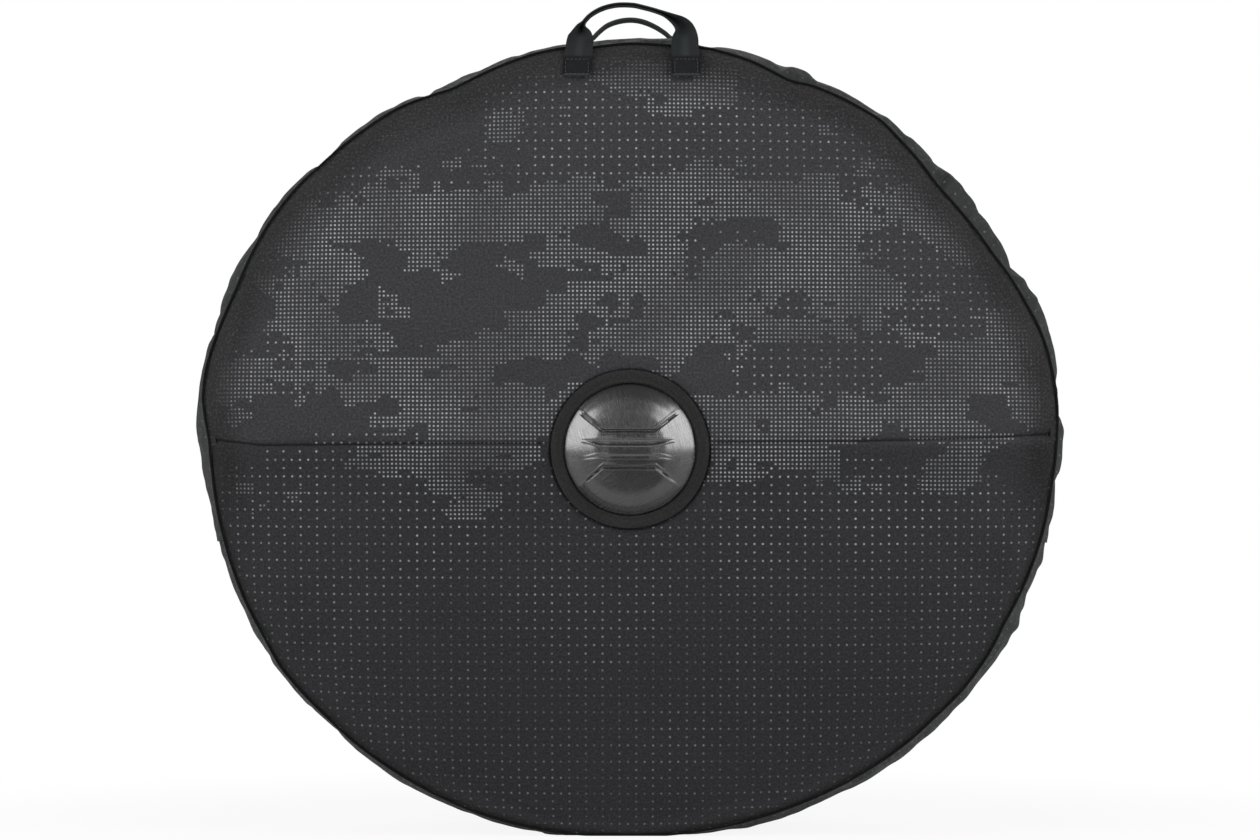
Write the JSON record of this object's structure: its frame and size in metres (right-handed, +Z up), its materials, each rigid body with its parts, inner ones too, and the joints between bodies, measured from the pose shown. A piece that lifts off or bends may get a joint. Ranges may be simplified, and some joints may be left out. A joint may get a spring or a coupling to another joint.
{
  "type": "bike wheel bag",
  "caption": "Round padded bag that carries a pair of bicycle wheels side by side, with a lid that zips over the top, hub guards and webbing handles.",
  "frame": {"origin": "on the floor, below the middle of the bag's box", "axes": "+Z up, -Y towards the front with the seam across it, +X to the right seen from the front"},
  "size_m": [0.823, 0.286, 0.7933],
  "materials": {
    "printed_cloth": "matt woven cloth with a fine pale dot print",
    "foam": "closed-cell foam under cloth",
    "lining": "plain woven lining",
    "webbing": "ribbed black webbing",
    "trim": "black corded piping and binding",
    "ring_cloth": "matt charcoal cloth, stitched",
    "hub_guard": "glossy black moulded plastic, finely brushed",
    "zip_chain": "black coil",
    "zip_metal": "black painted die casting"
  },
  "bodies": {
    "shell": {"back_panel_cloth": "printed_cloth", "back_panel_foam": "foam", "back_panel_lining": "lining", "front_apron_cloth": "printed_cloth", "front_apron_foam": "foam", "front_apron_lining": "lining", "base_gusset_cloth": "printed_cloth", "base_gusset_padding": "foam", "rear_gusset_cloth": "printed_cloth", "rear_gusset_padding": "foam", "rear_piping": "trim", "front_piping_lower": "trim", "rear_zip_tape": "webbing", "rear_zip_chain": "zip_chain", "rear_hub_guard": "hub_guard", "rear_hub_ring": "ring_cloth", "rear_left_handle_tab": "webbing", "rear_right_handle_tab": "webbing", "left_zip_end_patch": "webbing", "right_zip_end_patch": "webbing"},
    "lid": {"lid_panel_cloth": "printed_cloth", "lid_panel_foam": "foam", "lid_panel_lining": "lining", "front_gusset_cloth": "printed_cloth", "front_gusset_padding": "foam", "front_piping_upper": "trim", "front_zip_tape": "webbing", "front_zip_chain": "zip_chain", "front_hub_guard": "hub_guard", "front_hub_ring": "ring_cloth", "front_left_handle_tab": "webbing", "front_right_handle_tab": "webbing"},
    "front_handle": {"front_handle": "webbing"},
    "rear_handle": {"rear_handle": "webbing"},
    "left_slider": {"left_zip_slider": "zip_metal"},
    "right_slider": {"right_zip_slider": "zip_metal"},
    "left_pull": {"left_zip_pull": "zip_metal"},
    "right_pull": {"right_zip_pull": "zip_metal"},
    "divider": {"divider_board": "foam", "divider_binding": "trim", "divider_front_patch": "lining", "divider_rear_patch": "lining"}
  },
  "joints": [
    {"name": "lid_fold", "type": "hinge", "parent": "shell", "child": "lid", "pos_m": [0, -0.1217, 0.27849], "axis": [1, 0, 0], "range_deg": [0, 110]},
    {"name": "front_handle_swing", "type": "hinge", "parent": "lid", "child": "front_handle", "pos_m": [0, -0.1043, 0.7408], "axis": [1, 0, 0], "range_deg": [-5, 125]},
    {"name": "rear_handle_swing", "type": "hinge", "parent": "shell", "child": "rear_handle", "pos_m": [0, 0.1043, 0.7408], "axis": [-1, 0, 0], "range_deg": [-5, 125]},
    {"name": "left_slider_travel", "type": "hinge", "parent": "shell", "child": "left_slider", "pos_m": [0, 0, 0.35], "axis": [0, -1, 0], "range_deg": [0, 92]},
    {"name": "right_slider_travel", "type": "hinge", "parent": "shell", "child": "right_slider", "pos_m": [0, 0, 0.35], "axis": [0, 1, 0], "range_deg": [0, 92]},
    {"name": "left_pull_swing", "type": "hinge", "parent": "left_slider", "child": "left_pull", "pos_m": [-0.01938, 0, 0.75363], "axis": [0, 1, 0], "range_deg": [0, 105]},
    {"name": "right_pull_swing", "type": "hinge", "parent": "right_slider", "child": "right_pull", "pos_m": [0.01938, 0, 0.75363], "axis": [0, -1, 0], "range_deg": [0, 105]},
    {"name": "divider_tilt", "type": "hinge", "parent": "shell", "child": "divider", "pos_m": [0, 0, 0.0081], "axis": [1, 0, 0], "range_deg": [-6, 6], "stiffness_Nm_per_rad": 6}
  ]
}
